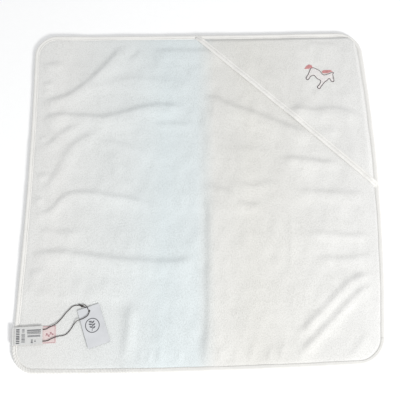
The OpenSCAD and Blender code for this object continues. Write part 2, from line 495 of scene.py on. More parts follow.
def terry_material():
    """White looped pile in rows, with painted light across it: cooler light over the left middle and warmer
    light at the right.
    """
    mat, shader = material("terry_cloth", roughness=0.95, sheen=0.25)
    at = place(mat)
    across = node(mat, "ShaderNodeSeparateXYZ")
    link(mat, at, across.inputs[0])
    # Loops: small cells, a little longer along the rows
    stretch = node(mat, "ShaderNodeMapping")
    stretch.inputs["Scale"].default_value = (1.0, 0.72, 1.0)
    link(mat, at, stretch.inputs["Vector"])
    loops = node(mat, "ShaderNodeTexVoronoi")
    loops.inputs["Scale"].default_value = 620
    loops.inputs["Randomness"].default_value = 0.8
    link(mat, stretch.outputs[0], loops.inputs["Vector"])
    fuzz = noise(mat, 1500, 2.0)
    pile = math_node(mat, "ADD", math_node(mat, "MULTIPLY", loops.outputs["Distance"], -1.0),
                     math_node(mat, "MULTIPLY", fuzz, 0.6))
    # Colour: painted cool and warm light across the towel, soft blotches, and painted shade in the gaps
    # between the loops
    # Painted light: a cool bluish cast over the left middle and a warm cast at the right, set by place
    # across the towel
    painted_light_tint = ramp(mat, math_node(mat, "ADD", across.outputs[0], 0.5), [
        (0.20, (0.822, 0.819, 0.805)), (0.35, (0.785, 0.812, 0.812)), (0.43, (0.755, 0.815, 0.830)),
        (0.500, (0.760, 0.812, 0.825)), (0.540, (0.780, 0.774, 0.750)), (0.62, (0.780, 0.770, 0.738)),
        (0.76, (0.808, 0.803, 0.785)), (0.92, (0.825, 0.822, 0.815))])
    blotch = ramp(mat, noise(mat, 14, 4.0), [(0.3, grey(0.95)), (0.7, grey(1.0))])
    # Painted shade: the colour is darker in the gaps between the loops, where shade falls
    painted_loop_shade = ramp(mat, loops.outputs["Distance"], [(0.25, grey(1.0)), (0.75, (0.86, 0.86, 0.85))])
    link(mat, multiplied(mat, multiplied(mat, painted_light_tint, blotch), painted_loop_shade), shader.inputs["Base Color"])
    rough_by(mat, shader, fuzz, 0.85, 1.0)
    bump(mat, shader, pile, 0.55, 0.0009)
    return mat


def woven_material(name, colour, dark, threads=1500, sheen=0.15, rough=0.8, strength=0.35):
    """Plain woven tape or ribbon: two crossed sets of threads with slight unevenness, and painted shade
    where the weave dips between the threads.
    """
    mat, shader = material(name, roughness=rough, sheen=sheen)
    at = place(mat)
    waves = []
    for direction in ("X", "Y"):
        wave = node(mat, "ShaderNodeTexWave", wave_type="BANDS", bands_direction=direction)
        # One wave for every two threads: a scale of 1 gives 3.2 waves to the metre
        wave.inputs["Scale"].default_value = threads / 6.28
        wave.inputs["Distortion"].default_value = 0.6
        wave.inputs["Detail"].default_value = 1.0
        link(mat, at, wave.inputs["Vector"])
        waves.append(wave.outputs["Fac"])
    weave = math_node(mat, "MULTIPLY", waves[0], waves[1])
    uneven = noise(mat, 90, 4.0)
    height = math_node(mat, "ADD", weave, math_node(mat, "MULTIPLY", uneven, 0.5))
    # Painted shade: the colour darkens where the weave is low, between the threads
    colour_by(mat, shader, height, (0.15, dark), (0.75, colour))
    rough_by(mat, shader, uneven, rough - 0.1, rough + 0.1)
    bump(mat, shader, height, strength, 0.0003)
    return mat


def thread_material(name, colour, dark, rough=0.45):
    """Twisted sewing or embroidery thread with a soft shine."""
    mat, shader = material(name, roughness=rough, sheen=0.3)
    strands = noise(mat, 2600, 2.0)
    colour_by(mat, shader, strands, (0.3, dark), (0.65, colour))
    rough_by(mat, shader, strands, rough, rough + 0.25)
    bump(mat, shader, strands, 0.4, 0.0002)
    return mat


def card_material():
    """Coated card, pale and cool, with faint paper grain."""
    mat, shader = material("tag_card", roughness=0.5)
    grain = noise(mat, 900, 5.0)
    paper = ramp(mat, noise(mat, 40, 3.0), [(0.3, (0.615, 0.625, 0.645)), (0.7, (0.665, 0.675, 0.695))])
    speck = ramp(mat, grain, [(0.3, grey(0.95)), (0.7, grey(1.0))])
    link(mat, multiplied(mat, paper, speck), shader.inputs["Base Color"])
    link(mat, ramp(mat, grain, [(0.3, grey(0.42)), (0.7, grey(0.6))]), shader.inputs["Roughness"])
    bump(mat, shader, grain, 0.15, 0.0001)
    return mat


def ink_material(name, colour):
    """Printed ink, a little uneven where it takes."""
    mat, shader = material(name, roughness=0.6)
    spots = noise(mat, 1400, 4.0)
    pale = tuple(c * 1.6 + 0.05 for c in colour)
    colour_by(mat, shader, spots, (0.45, colour), (0.75, pale))
    rough_by(mat, shader, spots, 0.5, 0.7)
    bump(mat, shader, spots, 0.1, 0.0001)
    return mat


def floor_material():
    """Plain pale paper floor."""
    mat, shader = material("floor", roughness=0.9)
    colour_by(mat, shader, noise(mat, 60, 3.0), (0.3, grey(0.985)), (0.7, grey(0.995)))
    return mat


TERRY = terry_material()
TAPE = woven_material("binding_tape", (0.85, 0.84, 0.815), (0.74, 0.73, 0.705), threads=2200)
THREAD = thread_material("sewing_thread", (0.66, 0.65, 0.62), (0.46, 0.45, 0.43))
SATIN_WHITE = thread_material("embroidery_white", (0.93, 0.90, 0.89), (0.80, 0.77, 0.76))
SATIN_GREY = thread_material("embroidery_grey", (0.16, 0.125, 0.13), (0.07, 0.05, 0.055))
SATIN_PINK = thread_material("embroidery_pink", (0.80, 0.40, 0.40), (0.55, 0.22, 0.23))
LABEL = woven_material("label_satin", (0.72, 0.72, 0.71), (0.58, 0.58, 0.57), threads=3200, rough=0.5)
RIBBON = woven_material("ribbon_satin", (0.80, 0.68, 0.665), (0.68, 0.55, 0.54), threads=3200, rough=0.5)
INK = ink_material("print_grey", (0.085, 0.085, 0.095))
PALE_INK = ink_material("print_pale_grey", (0.17, 0.17, 0.18))
FRAME_INK = ink_material("print_rose", (0.36, 0.18, 0.20))
CORD = thread_material("tag_cord", (0.045, 0.028, 0.025), (0.012, 0.008, 0.008), rough=0.6)
CARD = card_material()


def dress(obj, *materials):
    """Gives a piece its materials, in the order of its slots."""
    for mat in materials:
        obj.data.materials.append(mat)


# ---- Hang-tag cord ----

# The same route as the CAD cord's
CORD_ROUTE = [
    (-323, -295, 5.9), (-317, -296, 5.9), (-311, -297, 5.9), (-305, -296, 5.9),
    (-299, -292.5, 5.9), (-293, -289.5, 5.9), (-286.5, -286, 5.9), (-281.5, -281.5, 5.5),
    (-276.5, -276, 5), (-271.5, -269.5, 5), (-266.5, -263, 5), (-261, -257.5, 5),
    (-256, -252, 5), (-250, -249, 5), (-244, -248.5, 5), (-238, -249.5, 5),
    (-232, -251.5, 5), (-226, -253.5, 5), (-222, -256, 5), (-220.4, -258.6, 5.2),
    (-219.5, -260, 6.2), (-219.2, -261.6, 7.2), (-220, -265, 7.4), (-223, -270, 7.4),
    (-229.5, -274.5, 7.4), (-236.5, -277.5, 7.4), (-243.5, -280, 7.1), (-248.5, -285, 5.6),
    (-253, -292.5, 5), (-258, -300, 5), (-264, -306, 5), (-271, -309, 5),
    (-278, -310, 5.1), (-285, -312, 5.8), (-293, -315, 5.9), (-301, -319, 5.9),
    (-307, -320, 5.9), (-313, -320, 5.9), (-321, -319, 5.9)]


def line_frames(line):
    """Directions, sides and ups along a line of points."""
    tangent = np.gradient(line, axis=0)
    tangent /= np.linalg.norm(tangent, axis=1)[:, None]
    side = np.cross(tangent, [0, 0, 1.0])
    side /= np.linalg.norm(side, axis=1)[:, None]
    return tangent, side, np.cross(side, tangent)


def twisted_tube(line, diameter, plies=3, lay_length=6.0, corners=15):
    """A cord of twisted plies: a lobed section that turns as it goes."""
    _, side, up = line_frames(line)
    angle = np.linspace(0, 2 * math.pi, corners, endpoint=False)
    shapes = []
    for at in run_along(line):
        radius = diameter / 2 * (0.96 + 0.04 * np.cos(plies * (angle - 2 * math.pi * at / lay_length)))
        shapes.append(np.stack([radius * np.cos(angle), radius * np.sin(angle)], axis=1))
    return sweep(line, side, up, shapes)


def add_cord():
    """The cord, its middle line and its length in metres."""
    line = smooth_line(CORD_ROUTE, 0.6)
    cord = new_object("tag_cord_twist", *twisted_tube(line, CORD_D))
    dress(cord, CORD)
    length = np.linalg.norm(np.diff(line, axis=0), axis=1).sum() * MM
    return cord, line, float(length)


cord, cord_line, cord_length = add_cord()


def add_knot():
    """The overhand knot of the cord: two loops round the strand and two free ends."""
    turn = np.linspace(0, 2 * math.pi, 60)
    wrap = np.stack([2.4 * np.cos(turn) + 0.6 * np.cos(2 * turn), 1.25 * np.sin(turn),
                     0.9 * np.sin(2 * turn) + 0.3], axis=1)
    ends = [
        smooth_line([(0.5, 0.6, 0.5), (-2.0, 2.6, 0.2), (-5.5, 4.0, -0.4), (-7.5, 3.4, -0.6)], 0.5),
        smooth_line([(0, 0.8, 0.6), (3.5, 2.8, 0.4), (8.0, 1.2, 0.9), (11.5, -2.8, 1.5),
                     (13.6, -7.4, 1.5)], 0.5),
    ]
    verts = []
    faces = []
    for line in [wrap[:-1]] + ends:
        ring, quads = twisted_tube(line + KNOT_AT, CORD_D * 0.9)
        faces += shifted(quads, len(verts))
        verts += ring.tolist()
    knot = new_object("tag_cord_knot", verts, faces)
    dress(knot, CORD)
    return knot


knot = add_knot()

# ---- Towel cloth ----


def spaced(full, corner, step):
    """Places from -full to full, closer together where the rounded corners need it."""
    reach = full - corner
    bends = int(corner * math.pi / 2 / step)
    middle = int(2 * reach / step)
    bend = reach + corner * np.sin(np.linspace(0, math.pi / 2, bends + 1))
    return np.concatenate([-bend[::-1], np.linspace(-reach, reach, middle + 1)[1:-1], bend])


def outline_reach(x, full, corner):
    """Half the height of the rounded square at each x."""
    over = np.maximum(np.abs(x) - (full - corner), 0)
    return full - corner + np.sqrt(np.maximum(corner ** 2 - over ** 2, 0))


def add_towel_cloth():
    """The square of terry cloth: its upper side, its underside and its rim inside the binding."""
    inset = 3.0
    step = 4.2
    rows_across = 180
    # The rim is pressed thin where it goes into the binding
    pressed_top = 2.6
    pressed_bottom = 0.8
    full = HALF - inset
    corner = CORNER_R - inset
    xs = spaced(full, corner, step)
    vs = np.linspace(-1, 1, rows_across)
    x = np.repeat(xs, len(vs))
    y = np.tile(vs, len(xs)) * np.repeat(outline_reach(xs, full, corner), len(vs))
    low = cloth_lift(x, y)
    rim = smoothstep((edge_distance(x, y) - 5) / 9)
    high = low + pressed_top + (CLOTH_H - pressed_top) * rim
    low = low + pressed_bottom * (1 - rim)
    px, py = lay(x, y)
    verts = np.vstack([np.stack([px, py, high], axis=1), np.stack([px, py, low], axis=1)])
    towel = new_object("towel_terry_cloth", verts, slab_faces(len(xs), len(vs)))
    dress(towel, TERRY)
    return towel


towel = add_towel_cloth()

# ---- Edge binding and its stitches ----


def outline_points(inset, step):
    """Points round the rounded square, with outward directions, on the flat pattern."""
    full = HALF - inset
    corner = CORNER_R - inset
    reach = full - corner
    points = []
    outward = []
    for quarter in range(4):
        turn = quarter * math.pi / 2
        spin = np.array([[math.cos(turn), -math.sin(turn)], [math.sin(turn), math.cos(turn)]])
        for t in np.arange(-reach, reach, step):
            points.append(spin @ (full, t))
            outward.append(spin @ (1, 0))
        for angle in np.arange(0, math.pi / 2, step / corner):
            direction = np.array([math.cos(angle), math.sin(angle)])
            points.append(spin @ (np.array([reach, reach]) + corner * direction))
            outward.append(spin @ direction)
    return np.array(points), np.array(outward)


def pucker_amount(x, y):
    """How gathered the binding is: most at the bottom-left corner and along the bottom left."""
    corner = np.exp(-(((x + 330) / 150) ** 2 + ((y + 350) / 60) ** 2))
    bottom = smoothstep((-330 - y) / 20) * smoothstep((40 - x) / 300)
    return 0.25 + 0.75 * np.clip(corner + bottom, 0, 1)


def add_edge_binding():
    """The folded tape round the towel's edge, gathered into slanting puckers like the lay of a rope."""
    points, outward = outline_points(0, TAPE_STEP)
    # Section of the tape: across runs inwards from the outer edge
    section = np.array([
        (0.0, 2.2), (0.25, 3.5), (1.1, 4.5), (2.6, 4.95), (4.6, 4.8), (6.6, 4.35), (8.2, 3.95), (9.5, 4.1),
        (10.1, 3.6), (9.6, 2.6), (9.8, 1.3), (9.2, 0.35), (7.0, 0.3), (4.5, 0.05), (2.4, 0.0), (0.8, 0.5)])
    pucker_pitch = 6.2
    pucker_slant = 9.0
    pucker_height = 0.17
    pucker_reach = 0.8
    across, height = section.T
    run = run_along(points)
    wander = np.cumsum(np.random.default_rng(12).normal(0, 0.05, len(run)))
    wander -= np.linspace(0, wander[-1], len(run))
    gather = pucker_amount(points[:, 0], points[:, 1])
    inner = points - outward * RIM_IN
    base = cloth_lift(inner[:, 0], inner[:, 1])
    fade = np.sin(math.pi * np.clip(across / 10, 0, 1)) ** 0.5
    rings = []
    for i, (point, out) in enumerate(zip(points, outward)):
        phase = run[i] / pucker_pitch + across / pucker_slant + wander[i]
        wave = np.sin(2 * math.pi * phase) * fade
        swell = 1 + 0.05 * math.sin(run[i] / 23.0) + 0.03 * math.sin(run[i] / 9.1)
        z = base[i] + height * swell * np.where(height > 2, 1 + pucker_height * gather[i] * wave, 1)
        push = pucker_reach * gather[i] * wave * (across < 3)
        px, py = lay(point[0] - out[0] * across + out[0] * push, point[1] - out[1] * across + out[1] * push)
        rings.append(np.stack([px, py, z], axis=1))
    # This section runs the other way round than a sweep's
    faces = turned_over(tube_faces(len(rings), len(section), closed=True))
    binding = new_object("edge_binding_tape", np.vstack(rings), faces)
    dress(binding, TAPE)
    return binding


binding = add_edge_binding()


def stitch_shape(length, width, height):
    """One stitch: a small rounded bar that dips at both ends, along +X."""
    around = 6
    along = np.array([-0.5, -0.36, 0.0, 0.36, 0.5])
    swell = np.array([0.25, 0.85, 1.0, 0.85, 0.25])
    arch = np.array([-0.75, 0.0, 0.3, 0.0, -0.75])
    verts = []
    for t, s, a in zip(along, swell, arch):
        for k in range(around):
            angle = 2 * math.pi * k / around
            verts.append((t * length, s * width / 2 * math.cos(angle),
                          s * height / 2 * math.sin(angle) + a * height / 2))
    return np.array(verts), turned_over(tube_faces(len(along), around))


def stitch_row(name, spots, directions, up=1.0, size=STITCH_SIZE):
    """Many stitches as one mesh: each has a place and a direction, and up is 1 above and -1 below."""
    shape, quads = stitch_shape(*size)
    verts = []
    faces = []
    for spot, along in zip(spots, directions):
        along = along / np.linalg.norm(along)
        side = np.cross([0, 0, up], along)
        side /= np.linalg.norm(side)
        lift = np.cross(along, side)
        offset = len(verts) * len(shape)
        verts.append(spot + shape[:, :1] * along + shape[:, 1:2] * side + shape[:, 2:] * lift)
        faces += shifted(quads, offset)
    obj = new_object(name, np.vstack(verts), faces)
    dress(obj, THREAD)
    return obj


def add_edge_stitches(name, above, up):
    """One line of stitches along the tape, at a height above the cloth's underside."""
    stitch_in = 8.3
    points, outward = outline_points(0, STITCH_PITCH)
    inner = points - outward * stitch_in
    rim = points - outward * RIM_IN
    px, py = lay(inner[:, 0], inner[:, 1])
    z = cloth_lift(rim[:, 0], rim[:, 1]) + above
    spots = np.stack([px, py, z], axis=1)
    return stitch_row(name, spots, np.roll(spots, -1, axis=0) - np.roll(spots, 1, axis=0), up)


edge_stitches = add_edge_stitches("edge_stitches_upper", 4.25, 1.0)
edge_stitches_under = add_edge_stitches("edge_stitches_lower", 0.12, -1.0)

# ---- Hood ----


def hood_coordinates(along, across):
    """From places along and across the hood to the flat pattern: across 0 is the free edge."""
    off = HOOD_LINE / math.sqrt(2)
    return ((off + across) - along) / math.sqrt(2), ((off + across) + along) / math.sqrt(2)


def hood_base(x, y):
    """Height of the hood's underside over the floor."""
    return cloth_top(x, y) + hood_lift_over(x, y)


def hood_tape_base(x, y, behind):
    """Height of the hood tape's underside, taken a little way behind it and dropped at the seam."""
    clear = smoothstep((np.minimum(HALF - x, HALF - y) - RIM_IN) / 12)
    return hood_base(x + behind, y + behind) - TAPE_SINK - (1 - clear) * SEAM_DROP


def hood_outline_limit(x, y, inset):
    """Pulls points outside the hood's rounded corner back onto its outline."""
    full = HALF - inset
    corner = CORNER_R - inset
    x = np.minimum(x, full)
    y = np.minimum(y, full)
    reach = full - corner
    ox = x - reach
    oy = y - reach
    size = np.hypot(ox, oy)
    out = (ox > 0) & (oy > 0) & (size > corner)
    scale = np.where(out, corner / np.maximum(size, 1e-6), 1.0)
    x = np.where(out, reach + ox * scale, x)
    y = np.where(out, reach + oy * scale, y)
    return x, y


def half_of_hood(upper):
    """One half of the hood as a grid: rows run from the fold line to the seam."""
    inset = 8.5
    rows = 100
    columns = 64
    thin = 1.4
    full = HALF - inset
    # Along the symmetry line from the free edge to the tip
    tip = full - (CORNER_R - inset) * (1 - 1 / math.sqrt(2))
    spine = np.linspace(HOOD_LINE / 2 + 2.0, tip, rows)[:, None]
    # Each row runs parallel to the free edge; its points are closer at the fold, where the halves meet
    out = np.linspace(0, 1, columns) ** 1.6 * (full - spine)
    x, y = hood_outline_limit((spine - out).ravel(), (spine + out).ravel(), inset)
    if not upper:
        x, y = y, x
    low = hood_base(x, y)
    near_seam = smoothstep((np.minimum(full - x, full - y)) / 10)
    near_free = smoothstep(((x + y - HOOD_LINE) / math.sqrt(2) - 2) / 9)
    high = low + (thin + (HOOD_H - thin) * near_seam * near_free)
    drop = (1 - near_seam) * (hood_lift_over(x, y) + 3.0)
    px, py = lay(x, y)
    top = np.stack([px, py, high - drop], axis=1)
    bottom = np.stack([px, py, low - drop + 0.1], axis=1)
    faces = slab_faces(rows, columns, first_corner=1)
    if not upper:
        faces = [face[::-1] for face in faces]
    return np.vstack([top, bottom]), faces, 2 * (rows - 1) * (columns - 1)


def hood_blend(obj, upper):
    """Bakes the half's placement into its mesh; both halves get the same."""
    if upper:
        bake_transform(obj)
    else:
        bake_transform(obj)


hood_halves = []
for side_name, is_upper in (("upper", True), ("right", False)):
    half_verts, half_faces, first_wall = half_of_hood(is_upper)
    half = new_object("hood_cloth_" + side_name, half_verts, half_faces, smooth_faces=first_wall)
    dress(half, TERRY)
    hood_halves.append(half)


def free_edge_line(upper, offset, step, start=0.0):
    """Points from the middle of the free edge to its end at the seam, offset across it."""
    reach = (HALF - 9.0) * math.sqrt(2) - HOOD_LINE / math.sqrt(2) - offset
    along = np.arange(start, reach, step)
    x, y = hood_coordinates(along if upper else -along, np.full(len(along), offset))
    return x, y


def add_hood_binding(upper):
    """Half of the folded tape on the hood's free edge, from the fold to the seam."""
    # Section of the tape: across runs from the free edge into the hood
    section = np.array([
        (-0.5, 1.7), (-0.2, 3.3), (1.1, 4.6), (2.8, 5.0), (4.8, 4.5), (6.8, 3.4), (8.4, 3.25), (10.0, 4.3),
        (11.6, 4.1), (12.2, 2.6), (11.0, 1.0), (8.6, 0.2), (5.0, 0.1), (1.8, 0.2), (0.1, 0.7)])
    pucker_pitch = 7.5
    pucker_slant = 12.0
    pucker_height = 0.05
    across, height = section.T
    into = across / math.sqrt(2)
    x, y = free_edge_line(upper, 0.0, TAPE_STEP)
    base = hood_tape_base(x, y, 8 / math.sqrt(2))
    run = np.arange(len(x)) * TAPE_STEP * (1 if upper else -1)
    fade = np.sin(math.pi * np.clip(across / 11, 0, 1))
    rings = []
    for i in range(len(x)):
        wave = np.sin(2 * math.pi * (run[i] / pucker_pitch + across / pucker_slant)) * fade
        z = base[i] + height * np.where(height > 2, 1 + pucker_height * wave, 1)
        px, py = lay(x[i] + into, y[i] + into)
        rings.append(np.stack([px, py, z], axis=1))
    faces = tube_faces(len(rings), len(section))
    if not upper:
        faces = [face[::-1] for face in faces]
    obj = new_object("hood_binding_" + ("upper" if upper else "right"), np.vstack(rings), faces)
    dress(obj, TAPE)
    return obj


def add_hood_stitches(upper, name, above, up):
    """Half of one line of stitches along the hood's tape."""
    x, y = free_edge_line(upper, 7.6, STITCH_PITCH, start=STITCH_PITCH / 2)
    px, py = lay(x, y)
    spots = np.stack([px, py, hood_tape_base(x, y, -0.8) + above], axis=1)
    return stitch_row(name, spots, np.gradient(spots, axis=0), up)


hood_bindings = [add_hood_binding(True), add_hood_binding(False)]
hood_stitches = [add_hood_stitches(True, "hood_stitches_upper_a", 3.45, 1.0),
                 add_hood_stitches(False, "hood_stitches_upper_b", 3.45, 1.0)]
hood_stitches_under = [add_hood_stitches(True, "hood_stitches_lower_a", 0.2, -1.0),
                       add_hood_stitches(False, "hood_stitches_lower_b", 0.2, -1.0)]

# ---- Embroidery: a plain pony in satin stitch ----

PONY_BODY = [
    (-20, 7), (-8, 10), (4, 8), (10, 16), (13, 23), (16, 26), (17, 22),
    (25, 15), (28, 11), (25, 8), (18, 10), (17, 3), (16, -4), (17, -14),
    (18, -22), (13, -22), (12, -14), (9, -6), (0, -7), (-9, -6), (-12, -13),
    (-11, -22), (-16, -22), (-18, -13), (-21, -4), (-23, 2)]
PONY_MANE = [(1, 10), (8, 17), (11, 24), (14, 27), (8, 27), (3, 22), (-2, 17), (-3, 12)]
PONY_TAIL = [(-21, 6), (-26, 9), (-31, 7), (-33, 0), (-32, -8), (-28, -4), (-25, -1), (-24, 3)]


def pony_to_pattern(p):
    """From the pony's own drawing to the flat pattern of the hood."""
    c, s = PONY_SCALE * math.cos(PONY_TURN), PONY_SCALE * math.sin(PONY_TURN)
    return PONY_AT[0] + c * p[:, 0] - s * p[:, 1], PONY_AT[1] + s * p[:, 0] + c * p[:, 1]


def inside_spans(polygon, level):
    """Where the horizontal line at this level is inside the polygon."""
    cuts = []
    for (x0, y0), (x1, y1) in zip(polygon, polygon[1:] + polygon[:1]):
        if (y0 > level) != (y1 > level):
            cuts.append(x0 + (level - y0) / (y1 - y0) * (x1 - x0))
    cuts.sort()
    return list(zip(cuts[::2], cuts[1::2]))


def turned(points, angle):
    """The points turned about the origin."""
    c, s = math.cos(angle), math.sin(angle)
    return [(c * x - s * y, s * x + c * y) for x, y in points]


def fill_threads(polygon, angle, pitch, longest):
    """Straight threads that fill a polygon, laid at an angle and broken into staggered stitches."""
    flat = turned(polygon, -angle)
    low = min(y for _, y in flat)
    high = max(y for _, y in flat)
    threads = []
    for row, level in enumerate(np.arange(low + pitch / 2, high, pitch)):
        for a, b in inside_spans(flat, level):
            cuts = [a]
            first = a + longest * (0.5 + 0.25 * (row % 3))
            cuts += list(np.arange(first, b - 1.0, longest))
            cuts.append(b)
            for p, q in zip(cuts, cuts[1:]):
                threads.append(turned([(p, level), (q, level)], angle))
    return threads


def outline_threads(polygon, pitch, width):
    """Short threads across the outline, close together, as in a satin border."""
    line = smooth_line(polygon + polygon[:1], pitch)
    along = np.gradient(line, axis=0)
    along /= np.linalg.norm(along, axis=1)[:, None]
    across = np.stack([-along[:, 1], along[:, 0]], axis=1) + along * 0.35
    return [(tuple(p - d * width / 2), tuple(p + d * width / 2)) for p, d in zip(line, across)]


def thread_mesh(threads, thickness, above):
    """Each thread as a small arched bar on the hood, kept apart for the two halves of the hood."""
    ends = np.array(threads, float)
    along = np.array([0.0, 0.18, 0.5, 0.82, 1.0])
    places = ends[:, :1] * (1 - along[:, None]) + ends[:, 1:] * along[:, None]
    x, y = pony_to_pattern(places.reshape(-1, 2))
    z = hood_base(x, y) + HOOD_H + above
    px, py = lay(x, y)
    lines = np.stack([px, py, z], axis=1).reshape(len(ends), len(along), 3)
    upper = (y > x).reshape(len(ends), len(along))[:, 2]
    angle = np.linspace(0, 2 * math.pi, 5, endpoint=False)
    shape = np.stack([thickness / 2 * np.cos(angle), thickness / 2 * np.sin(angle)], axis=1)
    halves = {True: ([], []), False: ([], [])}
    for line, is_upper in zip(lines, upper):
        arch = min(0.28, 0.06 * np.linalg.norm(line[-1] - line[0])) + 0.12
        line[:, 2] += np.array([-0.25, 0.7 * arch, arch, 0.7 * arch, -0.25])
        _, side, up = line_frames(line)
        ring, quads = sweep(line, side, up, [shape] * len(line))
        verts, faces = halves[bool(is_upper)]
        faces += shifted(quads, len(verts))
        verts += ring.tolist()
    return halves


def add_embroidery(name, threads, above, mat):
    """One colour of the embroidery as (piece, whether it is on the upper half) pairs."""
    made = []
    for upper, (verts, faces) in thread_mesh(threads, THREAD_D, above).items():
        if verts:
            obj = new_object(name + ("_a" if upper else "_b"), verts, faces)
            dress(obj, mat)
            made.append((obj, upper))
    return made


white_threads = fill_threads(PONY_BODY, math.radians(38), 0.42, 4.5)
mane_threads = fill_threads(PONY_MANE, math.radians(60), 0.42, 4.0)
mane_threads += fill_threads(PONY_TAIL, math.radians(75), 0.42, 5.0)
grey_threads = outline_threads(PONY_BODY, 0.4, 1.5)
grey_threads += outline_threads([(21.3, 15.4), (22.3, 15.4), (22.3, 14.4), (21.3, 14.4)], 0.4, 0.8)
embroidery = {
    "embroidery_fill": add_embroidery("embroidery_white", white_threads, 0.05, SATIN_WHITE),
    "embroidery_mane": add_embroidery("embroidery_pink", mane_threads, 0.05, SATIN_PINK),
    "embroidery_outline": add_embroidery("embroidery_grey", grey_threads, 0.3, SATIN_GREY),
}

# ---- Labels ----


def on_label(along, across):
    """From places along and across the labels, from the seam, to the row frame."""
    c, s = math.cos(LABEL_TURN), math.sin(LABEL_TURN)
    return LABEL_AT[0] + c * along - s * across, LABEL_AT[1] + s * along + c * across


def strip_mesh(length, width, height_at, thick, step, mark):
    """A thin strip on the label's frame; mark(u, v) gives the material of each cell's upper side."""
    us = np.linspace(0, length, int(length / step) + 1)
    vs = np.linspace(-width / 2, width / 2, int(width / step) + 1)
    u = np.repeat(us, len(vs))
    v = np.tile(vs, len(us))
    x, y = on_label(u, v)
    z = height_at(u, v)
    verts = np.vstack([np.stack([x, y, z + thick], axis=1), np.stack([x, y, z], axis=1)])
    faces = slab_faces(len(us), len(vs))
    slots = []
    for u0, u1 in zip(us, us[1:]):
        for v0, v1 in zip(vs, vs[1:]):
            slots += [mark((u0 + u1) / 2, (v0 + v1) / 2), 0]
    return verts, faces, slots + [0] * (len(faces) - len(slots))


# Blocks of plain lines that stand for print: along from and to, across from and to, spacing, slot
CARE_BLOCKS = [
    (9, 16, -15, 14, 3.4, 1), (20, 27, -13, 4, 2.6, 2), (21, 26, 7, 14, 2.4, 2),
    (31, 59, 3, 12, 1.8, 1), (32, 58, -3, 1, 2.2, 2), (39, 43, -15, -8, 3.0, 1), (46, 49, -13, -9, 3.0, 2),
]


def care_mark(u, v):
    """Material slot of the care label at each place: cloth, ink or pale ink."""
    for u0, u1, v0, v1, spacing, slot in CARE_BLOCKS:
        if u0 < u < u1 and v0 < v < v1 and (v - v0) % spacing < 0.62 * spacing:
            return slot
    return 0


# Thickness of one layer of the care label, and how far apart its two layers lie
LAYER_H = 0.22
LAYER_GAP = 0.34


def care_height(u, v):
    """The care label rides over the cord and droops a little at its free end."""
    droop = 0.5 * np.exp(-((u - CARE_LEN) / 7) ** 2)
    ripple = 0.18 * np.sin(u / 7.0 + v / 19.0) + 0.12 * np.sin(v / 6.0)
    return CARE_LOW + 0.25 - 0.15 * droop + ripple


def add_care_label():
    """Two layers joined by a rolled fold at the free end, with the seam's roll at the sewn end."""
    verts, faces, slots = strip_mesh(
        CARE_LEN, LABEL_W, lambda u, v: care_height(u, v) + LAYER_GAP, LAYER_H, 0.5, care_mark)
    lower_verts, lower_faces, lower_slots = strip_mesh(
        CARE_LEN, LABEL_W, care_height, LAYER_H, 1.0, lambda u, v: 0)
    faces += shifted(lower_faces, len(verts))
    slots += lower_slots
    verts = np.vstack([verts, lower_verts])
    vs = np.linspace(-LABEL_W / 2, LABEL_W / 2, 37)
    n = len(vs)
    around = 12
    # Where each roll is, its radius, how flat it is and how high its middle lies
    for end, radius, squash, above in ((CARE_LEN, 0.29, 1.0, 0.28), (1.6, 1.1, 0.62, 0.35)):
        centre = care_height(np.full(n, end), vs) + above
        rings = []
        for k in range(around):
            angle = 2 * math.pi * k / around
            x, y = on_label(end + radius * math.cos(angle), vs)
            rings.append(np.stack([x, y, centre + radius * squash * math.sin(angle)], axis=1))
        roll = []
        for k in range(around):
            m = (k + 1) % around
            roll += [(k * n + j, m * n + j, m * n + j + 1, k * n + j + 1) for j in range(n - 1)]
        roll.append(tuple(k * n for k in range(around - 1, -1, -1)))
        roll.append(tuple(k * n + n - 1 for k in range(around)))
        faces += shifted(roll, len(verts))
        slots += [0] * len(roll)
        verts = np.vstack([verts] + rings)
    obj = new_object("care_label_folded", verts, faces, face_slots=slots)
    dress(obj, LABEL, INK, PALE_INK)
    return obj


def ribbon_mark(u, v):
    """A thin frame and a small sprig on the end that shows."""
    a = u - (CARE_LEN + 1.5)
    frame_out = 1.6
    frame_w = 1.0
    frame_side = 16.5
    slope = 0.25
    leaf_r = 1.8
    if a < 0:
        return 0
    if u < RIBBON_LEN - frame_out:
        if u > RIBBON_LEN - frame_out - frame_w and abs(v) < frame_side:
            return 1
        if frame_side - frame_w < abs(v) < frame_side:
            return 1
    stem = abs(v - slope * (a - 12)) < 0.5 and 4 < a < 20
    leaves = any(math.hypot(a - at, v - slope * (at - 12) - lean) < leaf_r
                 for at, lean in ((7, 2.4), (11, -2.4), (15, 2.4), (19, -1.6)))
    return 1 if stem or leaves else 0


def ribbon_height(u, v):
    """The ribbon dips to the cloth beyond the care label's free end."""
    return RIBBON_LOW + 0.05 * np.sin(u / 8.0) - 0.35 * smoothstep((u - CARE_LEN) / 20)


def add_ribbon_label():
    """The single layer of ribbon under the care label."""
    verts, faces, slots = strip_mesh(RIBBON_LEN, LABEL_W - 1, ribbon_height, 0.28, 0.5, ribbon_mark)
    obj = new_object("ribbon_label_satin", verts, faces, face_slots=slots)
    dress(obj, RIBBON, FRAME_INK)
    return obj


care_label = add_care_label()
ribbon_label = add_ribbon_label()


def add_bartack():
    """Close zigzag stitches across the sewn end of the labels."""
    from_seam = 5.4
    vs = np.arange(-15.5, 15.6, 0.55)
    us = np.full(len(vs), from_seam)
    x, y = on_label(us, vs)
    z = care_height(us, vs) + LAYER_GAP + LAYER_H + 0.12
    lean = np.where(np.arange(len(vs)) % 2, 0.35, -0.35)
    along = np.stack([np.ones(len(vs)), lean, np.zeros(len(vs))], axis=1)
    return stitch_row("label_bartack_zigzag", np.stack([x, y, z], axis=1), along, size=(1.9, 0.5, 0.45))


bartack = add_bartack()

# ---- Hang tag ----


